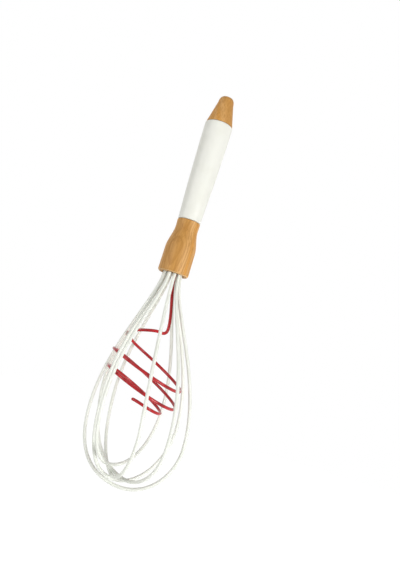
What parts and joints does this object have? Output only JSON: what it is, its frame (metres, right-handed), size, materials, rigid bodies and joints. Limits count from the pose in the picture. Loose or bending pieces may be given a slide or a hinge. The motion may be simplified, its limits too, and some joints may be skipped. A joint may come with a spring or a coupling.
{
  "type": "balloon whisk",
  "caption": "Balloon whisk with silicone-covered wire loops round a red inner spiral, and a turned wooden handle with a white grip sleeve.",
  "frame": {"origin": "centre of the flat butt at the end of the handle", "axes": "+Z along the handle's axis and out of the butt, so the loops are at -Z; +X to the right and +Y away from the camera in the picture, before its roll"},
  "size_m": [0.0763, 0.0804, 0.3],
  "materials": {
    "wood": "satin oiled beech",
    "white_sleeve": "satin",
    "ivory_silicone": "satin silicone",
    "red_silicone": "satin silicone",
    "steel": "drawn wire",
    "brass": "machined",
    "dark_nylon": "moulded",
    "resin": "cast"
  },
  "bodies": {
    "root": {"wooden_collar": "wood", "grip_sleeve": "white_sleeve", "end_knob": "wood", "tie_rod": "steel", "rod_nut": "steel", "rod_washer": "steel", "knob_insert": "brass", "wire_holder": "dark_nylon", "potting_plug": "resin", "loop_1_jacket": "ivory_silicone", "loop_1_core": "steel", "loop_2_jacket": "ivory_silicone", "loop_2_core": "steel", "loop_3_jacket": "ivory_silicone", "loop_3_core": "steel", "loop_4_jacket": "ivory_silicone", "loop_4_core": "steel", "loop_5_jacket": "ivory_silicone", "loop_5_core": "steel", "spiral_jacket": "red_silicone", "spiral_core": "steel"}
  },
  "joints": []
}
